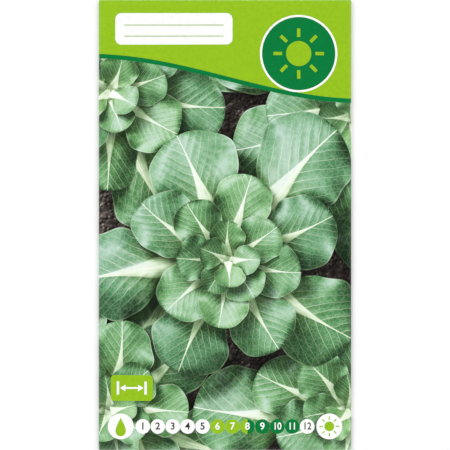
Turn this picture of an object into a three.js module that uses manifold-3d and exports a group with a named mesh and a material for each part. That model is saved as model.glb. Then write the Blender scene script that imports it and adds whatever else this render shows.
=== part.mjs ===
// A sealed paper seed packet that lies on its back, printed front up.
// Millimetres, +Z up from the surface it lies on, +Y towards the packet's top edge, +X to its right.
// The origin is the middle of the footprint, on that surface.

import * as THREE from "three";
import { mergeVertices } from "three/addons/utils/BufferGeometryUtils.js";
import Module from "manifold-3d";

const wasm = await Module();
wasm.setup();

// Driving dimensions of the packet
const WIDTH = 84;
const HEIGHT = 150;
const PAPER = 0.15; // thickness of the coated paper
const GLUE = 0.06; // thickness of a dried glue line
const CLEARANCE = 0.02; // air between layers that lie on each other
const EDGE_RISE = 1.1; // height of the front panel's middle plane along the folds
const FRONT_CROWN = 2.6; // how far the seeds lift the middle of the front panel
const SIDE_MARGIN = 1; // the front panel stays flat this far in from its side folds
const END_MARGIN = 2; // and this far in from its top and bottom folds

// Flaps of the folded sheet
const SEAM_FLAP = 14; // width of the flap tucked behind the right fold
const BACK_EDGE_INSET = 2; // the back panel stops this far short of the right fold
const BOTTOM_LIP = 14;
const TOP_LIP = 20;
const LIP_INSET = 1.2; // the lips start this far in from the side folds
const LIP_SHOULDER = 2; // a lip keeps its full width this far past its fold
const LIP_TAPER = 5; // each lip narrows by this much per side
const LIP_CORNER = 3; // radius of the lips' free corners

// Glue lines
const GLUE_MARGIN = 2.5; // glue stays this far inside the flap it holds
const FOLD_MARGIN = 5; // and this far from the fold of a lip
const SEAM_GLUE_ENDS = 6; // bare paper at each end of the seam glue

// Inner sachet and the seeds in it
const SACHET_WIDTH = 62;
const SACHET_HEIGHT = 92;
const SACHET_SHIFT = -8; // the sachet has slid towards the packet's bottom edge
const SACHET_CLEARANCE = 0.1; // air between the sachet and the seam flap under it
const FILM = 0.1;
const SEAL_BAND = 6;
const SACHET_CROWN = 2.0;
const SEED_DIAMETER = 1.6;
const SEED_BED_HALF_WIDTH = 16;
const SEED_BED_HALF_HEIGHT = 20;

// How far a lip runs into the front panel where the two are joined
const JOIN_OVERLAP = 0.8;

// Mesh fineness
const FOLD_STEPS = 6;
const FRONT_COLUMNS = 14;
const FRONT_ROWS = 24;
const FILM_COLUMNS = 14;
const FILM_ROWS = 20;

// Layer heights, stacked up from the surface: each is the lowest face of its layer
const LIP_Z = 0;
const LIP_GLUE_Z = LIP_Z + PAPER + CLEARANCE;
const BACK_Z = LIP_GLUE_Z + GLUE + CLEARANCE;
const SEAM_GLUE_Z = BACK_Z + PAPER + CLEARANCE;
const SEAM_FLAP_Z = SEAM_GLUE_Z + GLUE + CLEARANCE;
const SACHET_BACK_Z = SEAM_FLAP_Z + PAPER + SACHET_CLEARANCE;
const SACHET_FRONT_Z = SACHET_BACK_Z + FILM + CLEARANCE;
const SEED_Z = SACHET_BACK_Z + FILM + CLEARANCE;

const HALF_WIDTH = WIDTH / 2;
const HALF_HEIGHT = HEIGHT / 2;
const HALF_PAPER = PAPER / 2;

const paperLook = () => new THREE.MeshStandardMaterial({ color: 0x4f8a55, roughness: 0.45, metalness: 0 });
const glueLook = () => new THREE.MeshStandardMaterial({ color: 0xe6dcc0, roughness: 0.5, metalness: 0 });
const filmLook = () => new THREE.MeshStandardMaterial({ color: 0xc4c8cc, roughness: 0.35, metalness: 0.8 });
const seedLook = () => new THREE.MeshStandardMaterial({ color: 0x4a2c1e, roughness: 0.7, metalness: 0 });

// A geometry as a solid for joining and cutting.
function solidOf(geometry) {
  const bare = geometry.clone();
  bare.deleteAttribute("normal");
  bare.deleteAttribute("uv");
  const merged = mergeVertices(bare);
  return new wasm.Manifold(
    new wasm.Mesh({
      numProp: 3,
      vertProperties: merged.getAttribute("position").array,
      triVerts: new Uint32Array(merged.index.array),
    }),
  );
}

// A joined or cut solid as a geometry again.
function geometryOf(solid) {
  const mesh = solid.getMesh();
  return new THREE.BufferGeometry()
    .setAttribute("position", new THREE.BufferAttribute(mesh.vertProperties, 3))
    .setIndex(new THREE.BufferAttribute(mesh.triVerts, 1));
}

// The half turn of a fold, as points from the layer below to the layer above. side is +1 or -1.
function foldPoints(edge, lowZ, highZ, side) {
  const radius = (highZ - lowZ) / 2;
  const centre = new THREE.Vector2(side * (edge - HALF_PAPER - radius), (lowZ + highZ) / 2);
  return Array.from({ length: FOLD_STEPS + 1 }, (_, i) => {
    const angle = -Math.PI / 2 + (Math.PI * i) / FOLD_STEPS;
    return new THREE.Vector2(
      centre.x + side * radius * Math.cos(angle),
      centre.y + radius * Math.sin(angle),
    );
  });
}

// A strip of paper seen edge on: the middle line given, with half the paper on each side.
function paperStrip(line) {
  const along = (a, b) => new THREE.Vector2().subVectors(b, a).normalize();
  const sides = line.map((_, i) => {
    const before = along(line[Math.max(i - 1, 0)], line[Math.max(i, 1)]);
    const after = along(line[Math.min(i, line.length - 2)], line[Math.min(i + 1, line.length - 1)]);
    const middle = before.clone().add(after).normalize();
    const reach = HALF_PAPER / middle.dot(after);
    return new THREE.Vector2(-middle.y, middle.x).multiplyScalar(reach);
  });
  const left = line.map((point, i) => point.clone().add(sides[i]));
  const right = line.map((point, i) => point.clone().sub(sides[i]));
  return new THREE.Shape([...right, ...left.reverse()]);
}

// How full a pillow is at a share of its half width, from 1 in the middle to 0 at its edge.
function paperBulge(share) {
  return Math.max(0, 1 - share ** 2) ** 1.5;
}

function filmBulge(share) {
  return Math.max(0, 1 - share ** 4);
}

// Lifts the vertices of a flat layer to the pillow that the seeds push it into.
function lift(geometry, fromZ, riseAt) {
  const position = geometry.getAttribute("position");
  for (let i = 0; i < position.count; i++) {
    if (position.getZ(i) > fromZ) {
      position.setZ(i, position.getZ(i) + riseAt(position.getX(i), position.getY(i)));
    }
  }
  return geometry;
}

// The folded tube: seam flap, right fold, front panel, left fold and back panel, open at both ends.
function tubeGeometry(frontEnd) {
  const seamMiddle = SEAM_FLAP_Z + HALF_PAPER;
  const backMiddle = BACK_Z + HALF_PAPER;
  const rightFold = foldPoints(HALF_WIDTH, seamMiddle, EDGE_RISE, 1);
  const leftFold = foldPoints(HALF_WIDTH, backMiddle, EDGE_RISE, -1).reverse();
  const frontStart = rightFold.at(-1);
  const frontStop = leftFold[0];
  const front = Array.from({ length: FRONT_COLUMNS - 1 }, (_, i) =>
    frontStart.clone().lerp(frontStop, (i + 1) / FRONT_COLUMNS),
  );
  const line = [
    new THREE.Vector2(HALF_WIDTH - SEAM_FLAP, seamMiddle),
    ...rightFold,
    ...front,
    ...leftFold,
    new THREE.Vector2(HALF_WIDTH - BACK_EDGE_INSET, backMiddle),
  ];
  const geometry = new THREE.ExtrudeGeometry(paperStrip(line), {
    depth: 2 * frontEnd,
    steps: FRONT_ROWS,
    bevelEnabled: false,
  });
  geometry.rotateX(Math.PI / 2).translate(0, frontEnd, 0);
  const bulgeWidth = HALF_WIDTH - SIDE_MARGIN;
  const bulgeHeight = HALF_HEIGHT - END_MARGIN;
  const frontOnly = (frontStop.y + seamMiddle) / 2;
  return lift(
    geometry,
    frontOnly,
    (x, y) => FRONT_CROWN * paperBulge(x / bulgeWidth) * paperBulge(y / bulgeHeight),
  );
}

// A lip: the front panel's edge, its fold and the flap glued behind. It is made for the bottom edge.
function lipSolid(length, frontEnd) {
  const fold = foldPoints(HALF_HEIGHT, LIP_Z + HALF_PAPER, EDGE_RISE, -1);
  const line = [
    new THREE.Vector2(-HALF_HEIGHT + length, LIP_Z + HALF_PAPER),
    ...fold,
    new THREE.Vector2(-frontEnd + JOIN_OVERLAP, EDGE_RISE),
  ];
  const halfLip = HALF_WIDTH - LIP_INSET;
  const hook = new THREE.ExtrudeGeometry(paperStrip(line), { depth: 2 * halfLip, bevelEnabled: false });
  const alongX = new THREE.Matrix4().makeBasis(
    new THREE.Vector3(0, 1, 0),
    new THREE.Vector3(0, 0, 1),
    new THREE.Vector3(1, 0, 0),
  );
  hook.applyMatrix4(alongX).translate(-halfLip, 0, 0);
  return solidOf(hook).intersect(lipOutline(length, halfLip));
}

// The cut outline of a lip seen from above: it tapers to rounded free corners.
function lipOutline(length, halfLip) {
  const freeHalf = halfLip - LIP_TAPER;
  const freeY = -HALF_HEIGHT + length;
  const shape = new THREE.Shape();
  shape.moveTo(-halfLip, -HEIGHT);
  shape.lineTo(halfLip, -HEIGHT);
  shape.lineTo(halfLip, -HALF_HEIGHT + LIP_SHOULDER);
  shape.lineTo(freeHalf, freeY - LIP_CORNER);
  shape.quadraticCurveTo(freeHalf, freeY, freeHalf - LIP_CORNER, freeY);
  shape.lineTo(-freeHalf + LIP_CORNER, freeY);
  shape.quadraticCurveTo(-freeHalf, freeY, -freeHalf, freeY - LIP_CORNER);
  shape.lineTo(-halfLip, -HALF_HEIGHT + LIP_SHOULDER);
  const prism = new THREE.ExtrudeGeometry(shape, {
    depth: 2 * EDGE_RISE,
    curveSegments: 4,
    bevelEnabled: false,
  });
  return solidOf(prism.translate(0, 0, -EDGE_RISE / 2));
}

// The whole sheet, folded: the tube with a lip turned behind at each end.
function envelopeSheet() {
  const lipRadius = (EDGE_RISE - LIP_Z - HALF_PAPER) / 2;
  const frontEnd = HALF_HEIGHT - HALF_PAPER - lipRadius;
  const bottom = lipSolid(BOTTOM_LIP, frontEnd);
  const top = lipSolid(TOP_LIP, frontEnd).mirror([0, 1, 0]);
  const sheet = solidOf(tubeGeometry(frontEnd)).add(bottom).add(top);
  return new THREE.Mesh(geometryOf(sheet), paperLook());
}

// A flat glue line with its lowest corner and size given.
function glueLine(low, size) {
  const line = new THREE.Mesh(new THREE.BoxGeometry(size.x, size.y, size.z), glueLook());
  line.position.copy(low).addScaledVector(size, 0.5);
  return line;
}

function seamGlue() {
  const low = new THREE.Vector3(
    HALF_WIDTH - SEAM_FLAP + GLUE_MARGIN,
    -HALF_HEIGHT + SEAM_GLUE_ENDS,
    SEAM_GLUE_Z,
  );
  const right = HALF_WIDTH - BACK_EDGE_INSET - GLUE_MARGIN / 2;
  return glueLine(low, new THREE.Vector3(right - low.x, -2 * low.y, GLUE));
}

// The glue under a lip. end is -1 at the packet's bottom edge and +1 at its top edge.
function lipGlue(length, end) {
  const halfGlue = HALF_WIDTH - LIP_INSET - LIP_TAPER - GLUE_MARGIN;
  const depth = length - GLUE_MARGIN - FOLD_MARGIN;
  const nearFreeEdge = HALF_HEIGHT - length + GLUE_MARGIN;
  const lowY = end > 0 ? nearFreeEdge : -nearFreeEdge - depth;
  return glueLine(
    new THREE.Vector3(-halfGlue, lowY, LIP_GLUE_Z),
    new THREE.Vector3(2 * halfGlue, depth, GLUE),
  );
}

// One film of the inner sachet, flat along its heat seal and raised by crown over the pocket.
function sachetFilm(crown) {
  const film = new THREE.BoxGeometry(SACHET_WIDTH, SACHET_HEIGHT, FILM, FILM_COLUMNS, FILM_ROWS, 1);
  const pocketWidth = SACHET_WIDTH / 2 - SEAL_BAND;
  const pocketHeight = SACHET_HEIGHT / 2 - SEAL_BAND;
  lift(film, -FILM, (x, y) => crown * filmBulge(x / pocketWidth) * filmBulge(y / pocketHeight));
  return new THREE.Mesh(film, filmLook());
}

// The loose seeds as one bed: the outer shape of a single layer spread over an oval.
function seedFill() {
  const radius = SEED_DIAMETER / 2;
  const rim = SEED_BED_HALF_WIDTH - radius;
  const profile = new THREE.Path();
  profile.moveTo(0, 0);
  profile.lineTo(rim, 0);
  profile.absarc(rim, radius, radius, -Math.PI / 2, Math.PI / 2, false);
  profile.lineTo(0, SEED_DIAMETER);
  const bed = new THREE.LatheGeometry(profile.getPoints(4), 28);
  bed.rotateX(Math.PI / 2).scale(1, SEED_BED_HALF_HEIGHT / SEED_BED_HALF_WIDTH, 1);
  return new THREE.Mesh(bed, seedLook());
}

function named(name, mesh) {
  mesh.name = name;
  return mesh;
}

const packet = new THREE.Group();
packet.add(
  named("envelope_sheet", envelopeSheet()),
  named("seam_glue", seamGlue()),
  named("bottom_lip_glue", lipGlue(BOTTOM_LIP, -1)),
  named("top_lip_glue", lipGlue(TOP_LIP, 1)),
);

// The filled sachet lies loose inside the envelope.
const sachet = new THREE.Group();
sachet.position.set(0, SACHET_SHIFT, 0);
const backFilm = named("sachet_back_film", sachetFilm(0));
backFilm.position.z = SACHET_BACK_Z + FILM / 2;
const frontFilm = named("sachet_front_film", sachetFilm(SACHET_CROWN));
frontFilm.position.z = SACHET_FRONT_Z + FILM / 2;
const seeds = named("seed_fill", seedFill());
seeds.position.z = SEED_Z;
sachet.add(backFilm, frontFilm, seeds);
packet.add(sachet);

export default packet;
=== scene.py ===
"""Builds the looks of a sealed paper seed packet around its frame.

The packet is made as a real one is: a picture is composed, pressed onto a flat sheet, and the sheet is
folded over a sachet of seeds and glued. Places on the flat sheet are in millimetres from the middle of its
front panel; everything else is in metres, +Z up out of the printed front and +Y towards the top edge.
"""

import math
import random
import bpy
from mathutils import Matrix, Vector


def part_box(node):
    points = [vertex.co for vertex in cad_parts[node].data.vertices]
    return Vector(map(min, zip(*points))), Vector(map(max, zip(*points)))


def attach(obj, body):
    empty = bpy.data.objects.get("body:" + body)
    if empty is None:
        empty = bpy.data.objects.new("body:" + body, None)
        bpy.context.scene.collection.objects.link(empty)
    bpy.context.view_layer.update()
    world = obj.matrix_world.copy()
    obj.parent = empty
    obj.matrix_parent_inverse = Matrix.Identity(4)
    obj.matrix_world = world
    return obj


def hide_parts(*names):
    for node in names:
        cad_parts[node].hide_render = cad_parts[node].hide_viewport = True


bl_info = {
    "name": "Seed Packet",
    "version": (1, 0, 0),
    "blender": (4, 5, 0),
    "location": "View3D > Sidebar > Seed Packet",
    "description": "Makes a sealed seed packet: the printed folded sheet, glue lines, inner sachet and seeds",
    "category": "Add Mesh",
}

from collections import Counter, namedtuple
from itertools import permutations

import bpy
import numpy as np
from mathutils import Quaternion, Vector, noise
from mathutils.bvhtree import BVHTree
from mathutils.geometry import delaunay_2d_cdt, tessellate_polygon
from mathutils.interpolate import poly_3d_calc
from mathutils.kdtree import KDTree

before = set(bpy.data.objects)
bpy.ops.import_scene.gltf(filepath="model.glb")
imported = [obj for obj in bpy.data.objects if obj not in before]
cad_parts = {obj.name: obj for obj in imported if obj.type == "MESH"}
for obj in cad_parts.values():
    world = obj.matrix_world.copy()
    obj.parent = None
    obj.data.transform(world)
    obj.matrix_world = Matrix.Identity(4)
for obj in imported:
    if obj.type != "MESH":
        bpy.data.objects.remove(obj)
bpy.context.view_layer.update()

MM = 0.001
DOWN = Vector((0, 0, -1))
FAR = 1000.0

sheet_low, sheet_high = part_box("envelope_sheet")
seam_glue_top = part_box("seam_glue")[1].z
lip_glue_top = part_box("bottom_lip_glue")[1].z
film_low, film_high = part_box("sachet_back_film")
bed_low, bed_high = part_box("seed_fill")


def screen(*levels):
    """A screen colour, 0 to 255 a channel, as the linear colour that a shader takes."""
    shares = [level / 255 for level in levels]
    return tuple(s / 12.92 if s <= 0.04045 else ((s + 0.055) / 1.055) ** 2.4 for s in shares)


def length_value(name, description, default):
    """A size that a user can change, in metres."""
    return bpy.props.FloatProperty(
        name=name, description=description, default=default, unit="LENGTH", precision=5
    )


def colour_value(name, description, *levels):
    """A colour that a user can change. Its default is a screen colour."""
    return bpy.props.FloatVectorProperty(
        name=name, description=description, default=screen(*levels), subtype="COLOR", size=3, min=0, max=1
    )


class PacketSizes(bpy.types.PropertyGroup):
    """Sizes of the folded packet"""

    width: length_value("Width", "Width across the side folds", sheet_high.x - sheet_low.x)
    height: length_value("Height", "Height between the end folds", sheet_high.y - sheet_low.y)
    thickness: length_value("Thickness", "Height of the front's crown above the table", sheet_high.z)
    edge: length_value("Edge", "Height of the printed face along the folds", 0.001175)
    paper: length_value("Paper", "Thickness of the coated paper", 0.00015)
    layer_gap: length_value("Layer gap", "Air between layers that lie on each other", 0.00002)
    seam_flap: length_value("Seam flap", "Width of the flap tucked behind the right fold", 0.014)
    back_inset: length_value("Back inset", "How far the back panel stops short of the right fold", 0.002)
    bottom_lip: length_value("Bottom lip", "Length of the lip glued behind at the bottom", 0.014)
    top_lip: length_value("Top lip", "Length of the lip glued behind at the top", 0.020)
    film: length_value("Film", "Thickness of the sachet's laminate film", film_high.z - film_low.z)
    seal_band: length_value("Seal band", "Width of the sachet's heat seal", 0.006)
    seed: length_value("Seed", "Diameter of one seed", 0.0015)
    seed_count: bpy.props.IntProperty(name="Seeds", description="Seeds in the sachet", default=250, min=1)


class PrintColours(bpy.types.PropertyGroup):
    """Colours of the print and the pieces inside"""

    lime: colour_value("Lime", "Header, sowing months and tag", 148, 193, 30)
    green: colour_value("Deep green", "Badge, stripe and harvest months", 0, 122, 58)
    white: colour_value("White", "Unprinted coated face", 250, 250, 248)
    rule: colour_value("Rule", "Pale ruled lines", 176, 200, 150)
    letter: colour_value("Letter", "Numbers on white", 34, 38, 33)
    stock: colour_value("Stock", "Uncoated inside of the paper", 240, 238, 230)
    glue: colour_value("Glue", "Dried glue", 228, 216, 180)
    film: colour_value("Film", "Laminate film of the sachet", 205, 208, 212)
    seed: colour_value("Seed", "Seed coat", 84, 48, 34)
    floor: colour_value("Floor", "Table under the packet", 250, 250, 250)


# Printing inks, in the order of the sheet's material slots. The last is the bare inside of the paper.
LEAF, SOIL, LIME, GREEN, WHITE, RULE, LETTER, BARE = range(8)

# The sheet and its folds, with lengths in millimetres
Fold = namedtuple("Fold", "start radius crest stop")
LIP_INSET = 1.2
LIP_TAPER = 5.0
LIP_SHOULDER = 2.0
LIP_CORNER = 3.0
FLAP_TAPER = 4.0
FOLD_STEPS = 8
SIDE_MARGIN = 1.0
END_MARGIN = 2.0
BUCKLE_DEPTH = 0.07
# The buckles' pace in radians to the millimetre and their phase, across and up
BUCKLES = ((0.19, 0.9), (0.13, -0.4))
PULL_DEPTH = 0.1
PULL_WIDTH = 1.8
PULL_REACH = 30.0
PULL_SLANTS = (math.radians(38), math.radians(64))
WEAR_REACH = 1.2
SAMPLE = 0.005


class FlatSheet:
    """The cut sheet, printed side up, and how it folds, in millimetres."""

    def __init__(self, sizes):
        self.half_width = sizes.width / MM / 2
        self.half_height = sizes.height / MM / 2
        self.edge = sizes.edge / MM
        self.crown = (sizes.thickness - sizes.edge) / MM
        gap = sizes.layer_gap / MM
        self.right = self.fold(self.half_width, seam_glue_top / MM + gap)
        self.left = self.fold(self.half_width, lip_glue_top / MM + gap)
        self.end = self.fold(self.half_height, sheet_low.z / MM)
        self.flap_edge = self.right.stop + sizes.seam_flap / MM - self.right.radius
        self.back_edge = self.left.stop + self.left.start + self.half_width - sizes.back_inset / MM
        self.bottom_edge = self.end.stop + sizes.bottom_lip / MM - self.end.radius
        self.top_edge = self.end.stop + sizes.top_lip / MM - self.end.radius
        self.lip = self.half_width - LIP_INSET

    def fold(self, half, face):
        """The fold that takes the front's printed face, at its edge height, down to a face below it."""
        radius = (self.edge - face) / 2
        start = half - radius
        stop = start + math.pi * radius
        return Fold(start, radius, (start + stop) / 2, stop)

    def outline(self):
        """The cut outline, counterclockwise from the foot of the seam flap."""
        end = self.end.start
        crest = self.end.crest
        flap = [
            (self.flap_edge, end - FLAP_TAPER),
            (self.flap_edge - FLAP_TAPER, end),
            (self.right.crest, end),
            (self.right.start, crest),
            (self.lip, crest),
        ]
        back = [
            (-self.lip, crest),
            (-self.left.start, crest),
            (-self.left.crest, end),
            (-self.back_edge, end),
        ]
        bottom = [(-u, -v) for u, v in self.lip_outline(self.bottom_edge)]
        return [*lower(flap), *flap, *self.lip_outline(self.top_edge), *back, *lower(back), *bottom]

    def lip_outline(self, edge):
        """The free end of a lip, from its right side over its rounded end to its left side."""
        middle = (self.lip - LIP_TAPER - LIP_CORNER, edge - LIP_CORNER)
        right = [(self.lip, self.end.stop + LIP_SHOULDER), *arc(middle, LIP_CORNER, corner_turn(0))]
        return right + [(-u, v) for u, v in reversed(right)]

    def creases(self):
        """Lines that the sheet bends along. Up to its crest a fold runs into the corners."""
        lines = []
        folds = (self.right, self.left, self.end)
        for share in np.linspace(0, 1, FOLD_STEPS + 1):
            right, left, end = (fold.start + share * (fold.stop - fold.start) for fold in folds)
            if share <= 0.5:
                west, east, north = -self.left.crest, self.right.crest, self.end.crest
            else:
                west, east, north = -self.lip, self.lip, self.end.start
            lines += [((u, -north), (u, north)) for u in (-left, right)]
            lines += [((west, v), (east, v)) for v in (-end, end)]
        return lines

    def folded(self, flat):
        """Where points of the flat sheet lie once it is folded and filled."""
        u, v = flat.T
        right_out, right_down = rolled(u, self.right)
        left_out, left_down = rolled(-u, self.left)
        end_out, end_down = rolled(np.abs(v), self.end)
        down = right_down + left_down + end_down
        fullness = pillow(u / (self.half_width - SIDE_MARGIN)) * pillow(v / (self.half_height - END_MARGIN))
        (pace_u, phase_u), (pace_v, phase_v) = BUCKLES
        waves = np.sin(pace_u * u + phase_u) * np.sin(pace_v * v + phase_v) - 1
        swell = self.crown * fullness + BUCKLE_DEPTH * np.sqrt(fullness) * waves - self.pulls(u, v)
        height = self.edge - down + np.where(down > 0, 0, swell)
        return np.stack([np.where(u > 0, right_out, -left_out), np.sign(v) * end_out, height], 1)

    def facing(self, flat):
        """Which way the printed face looks at points of the flat sheet, once it is folded."""
        steps = SAMPLE * np.eye(2)
        along_u, along_v = (self.folded(flat + step) - self.folded(flat - step) for step in steps)
        normal = np.cross(along_u, along_v)
        return normal / np.linalg.norm(normal, axis=1, keepdims=True)

    def wear(self, flat):
        """How much the print is rubbed, from 1 on the crest of a fold to 0 away from it."""
        u, v = flat.T
        rubbed = 0
        for place, fold in ((u, self.right), (-u, self.left), (np.abs(v), self.end)):
            from_crest = np.abs(place - fold.crest) / (fold.crest - fold.start)
            rubbed = np.maximum(rubbed, 1 - from_crest / WEAR_REACH)
        return rubbed

    def pulls(self, u, v):
        """Depth of the soft folds that run in from the corners, where the filled front pulls its paper."""
        in_u = self.half_width - np.abs(u)
        in_v = self.half_height - np.abs(v)
        depth = 0
        for slant in PULL_SLANTS:
            along = in_u * math.cos(slant) + in_v * math.sin(slant)
            beside = in_v * math.cos(slant) - in_u * math.sin(slant)
            swell = np.sin(math.pi * np.clip(along / PULL_REACH, 0, 1)) ** 2
            depth = depth + swell * np.exp(-((beside / PULL_WIDTH) ** 2))
        return PULL_DEPTH * depth


def lower(places):
    """The same cut on the lower half of the sheet, the other way round."""
    return [(u, -v) for u, v in reversed(places)]


def rolled(place, fold):
    """How far out and how far down a fold takes a place of the flat paper."""
    past = place - fold.start
    turn = np.clip(past / fold.radius, 0, math.pi)
    beyond = np.maximum(past - math.pi * fold.radius, 0)
    out = fold.start + (np.minimum(past, 0) + fold.radius * np.sin(turn) - beyond)
    return out, fold.radius * (1 - np.cos(turn))


def pillow(share):
    """How full the packet is at a share of its half width, from 1 in the middle to 0 at its edge."""
    return np.maximum(0, 1 - share**2) ** 1.5


# One thing in the print: its ink, flat surface and outline. A leaf also has the form that it grew in.
Shape = namedtuple("Shape", "ink places triangles outline grown normals leaf tree", defaults=(None,) * 4)
DISC_POINTS = 20
DISC_POINTS_TO_MM = 10
DROP_POINTS = 28
DROP_LENGTH = 1.3
DROP_TAPER = 1.4
# A sun's disc, rays and their width, as shares of its radius
SUN_DISC = 0.5
SUN_RAYS = (0.66, 1)
SUN_RAY_WIDTH = 0.13
NUMBER_WEIGHT = 0.06
TWO_DIGITS = 0.86


def closed_outline(places):
    """The segments of a closed line."""
    return list(zip(places, places[1:] + places[:1]))


def inked(ink, loop):
    """A flat printed shape inside a loop."""
    triangles = tessellate_polygon([[Vector((u, v, 0)) for u, v in loop]])
    return Shape(ink, loop, [tuple(t) for t in triangles], closed_outline(loop))


def arc(centre, radius, angles):
    """Points on a circle at the given angles."""
    return [(centre[0] + radius * math.cos(a), centre[1] + radius * math.sin(a)) for a in angles]


def corner_turn(quarter):
    """The angles round one corner of a box, counted from its upper right corner."""
    return [math.radians(90 * quarter + 15 * step) for step in range(7)]


def box_loop(left, bottom, right, top, corner=0.0):
    """A rectangle, with round corners where a corner radius is given."""
    if not corner:
        return [(left, bottom), (right, bottom), (right, top), (left, top)]
    inner = box_loop(left + corner, bottom + corner, right - corner, top - corner)
    centres = enumerate(inner[2:] + inner[:2])
    return [place for quarter, centre in centres for place in arc(centre, corner, corner_turn(quarter))]


def full_turn(count):
    """Even angles round a circle."""
    return [math.tau * k / count for k in range(count)]


def disc_loop(centre, radius):
    """A circle."""
    return arc(centre, radius, full_turn(max(DISC_POINTS, int(DISC_POINTS_TO_MM * radius))))


def drop_loop(centre, radius):
    """A drop of water, point up."""
    loop = []
    for a in full_turn(DROP_POINTS):
        half = radius * math.sin(a) * math.sin(a / 2) ** DROP_TAPER
        loop.append((centre[0] + half, centre[1] + DROP_LENGTH * radius * math.cos(a)))
    return loop


def bar_loop(start, stop, width):
    """A straight bar between two points."""
    start, stop = Vector(start), Vector(stop)
    along = (stop - start).normalized()
    side = Vector((-along.y, along.x)) * width / 2
    return [tuple(corner) for corner in (start - side, stop - side, stop + side, start + side)]


def sun(ink, centre, radius):
    """A round sun with eight rays."""
    shapes = [inked(ink, disc_loop(centre, SUN_DISC * radius))]
    for a in full_turn(8):
        ray = Vector((math.cos(a), math.sin(a)))
        start, stop = (Vector(centre) + share * radius * ray for share in SUN_RAYS)
        shapes.append(inked(ink, bar_loop(start, stop, SUN_RAY_WIDTH * radius)))
    return shapes


def number(ink, value, centre, size):
    """A plain number, set as type and cut to its outline."""
    bpy.ops.object.text_add()
    text = bpy.context.object
    text.data.body = str(value)
    text.data.size = size
    text.data.offset = NUMBER_WEIGHT
    text.data.align_x = "CENTER"
    text.data.align_y = "CENTER"
    bpy.ops.object.convert(target="MESH")
    mesh = bpy.context.object.data
    squeeze = 1.0 if value < 10 else TWO_DIGITS
    places = [(centre[0] + squeeze * v.co.x, centre[1] + v.co.y) for v in mesh.vertices]
    mesh.calc_loop_triangles()
    triangles = [tuple(t.vertices) for t in mesh.loop_triangles]
    uses = Counter(key for face in mesh.polygons for key in face.edge_keys)
    outline = [(places[a], places[b]) for (a, b), count in uses.items() if count == 1]
    bpy.data.objects.remove(bpy.context.object)
    bpy.data.meshes.remove(mesh)
    return Shape(ink, places, triangles, outline)


# The growing bed in the picture: plants in millimetres on the sheet, leaves in shares of their own length
GOLDEN_TURN = math.radians(137.508)
BED_DRAW = 7
LEAF_ROWS = 60
LEAF_COLUMNS = 25
ROW_CROWDING = 1.35
COLUMN_CROWDING = 1.5
STALK_SHARE = 0.42
HEART_START = 0.3
STALK_HALF = (0.135, 0.025)
STALK_END = 1.2
BLADE_RISE = 0.60
BLADE_FALL = 0.50
BLADE_ONSET = 0.2
LEAF_TIP = 0.002
RIB_FOOT = 0.15
RIB_TIP = 0.004
RIB_FADE = (0.28, 0.95)
RIB_ROUND = 0.35
VEIN_PAIRS = 7.0
VEIN_SLANT = 1.15
VEIN_BEND = 0.8
VEIN_DEPTH = 0.004
BLADE_TROUGH = 0.05
MARGIN_WAVES = ((5, 0.06), (13, 0.05), (29, 0.025))
# Waves over a blade: the least and most height, how it grows outwards, the pace along and the skew
BLADE_WAVES = ((0.04, 0.075, 2, 11, 2.5), (0.02, 0.035, 3, 27, -1.5))
# From the outermost leaf to the heart: length in the plant's reach, pitch in degrees, height in millimetres
LEAF_LENGTH = (1.08, 0.30)
FOOT_PITCH = (22, 66)
TIP_PITCH = (-24, 28)
FOOT_HEIGHT = (3, 10)
CURL = (-0.11, 0.15)
WARMTH = (0.2, 0.7)
# How far leaves of one age differ, between two ends or either way
LENGTH_SPREAD = (0.94, 1.05)
BLADE_SPREAD = (0.27, 0.31)
PLACE_SPREAD = 0.12
SWERVE_SPREAD = 0.35
TILT_SPREAD = 0.25
CURL_SPREAD = 0.06
WARMTH_SPREAD = 0.2
# How fast leaves age, and how fast they shorten with it
AGEING = 1.1
SHORTENING = 0.62
CLOD_HEIGHT = 1.5
CLOD_PACE = 0.16
LUMP_HEIGHT = 0.7
LUMP_PACE = 0.7
Plant = namedtuple("Plant", "place rise reach leaves heading")
PLANTS = (
    Plant((-38, 44), 0, 58, 19, 0.4),
    Plant((43, 36), 3, 56, 19, 2.6),
    Plant((-38, -62), 0, 57, 19, 1.1),
    Plant((42, -62), 3, 57, 19, 0.9),
    Plant((1, -12), 13, 54, 21, 0.9),
)


def between(ends, share):
    """A value between two ends."""
    return ends[0] + (ends[1] - ends[0]) * share


def either_way(most, rng):
    """A random amount, up or down."""
    return rng.uniform(-most, most)


def blade_half_width(along, spread):
    """Half the width of a leaf as a share of its length: a fleshy stalk that opens to a round blade."""
    blade = np.clip((along - STALK_SHARE) / (1 - STALK_SHARE), 0, 1)
    peak = BLADE_RISE / (BLADE_RISE + BLADE_FALL)
    crest = peak**BLADE_RISE * (1 - peak) ** BLADE_FALL
    opened = spread * blade**BLADE_RISE * (1 - blade) ** BLADE_FALL / crest
    stalk = between(STALK_HALF, along) * np.clip((1 - blade) * STALK_END, 0, 1)
    return np.maximum(np.maximum(opened, stalk), LEAF_TIP)


def rib_half_width(along):
    """Half the width of the pale stalk and rib, as a share of the leaf's length."""
    low, high = RIB_FADE
    past = np.clip((along - low) / (high - low), 0, 1)
    return RIB_FOOT * (1 - along) * (1 - past**2 * (3 - 2 * past)) + RIB_TIP


def margin_wave(along, rng):
    """Uneven growth of one margin of a leaf, as a factor of its half width."""
    return 1 + sum(depth * np.sin(pace * along + rng.uniform(0, math.tau)) for pace, depth in MARGIN_WAVES)


def vein_phase(along, across):
    """Counts the side veins of a leaf: a whole number on each one, with both sides half a step apart."""
    ahead = along - STALK_SHARE - VEIN_SLANT * np.abs(across) - VEIN_BEND * across**2
    return VEIN_PAIRS * ahead / (1 - STALK_SHARE) + 0.5 * (across > 0)


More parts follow.
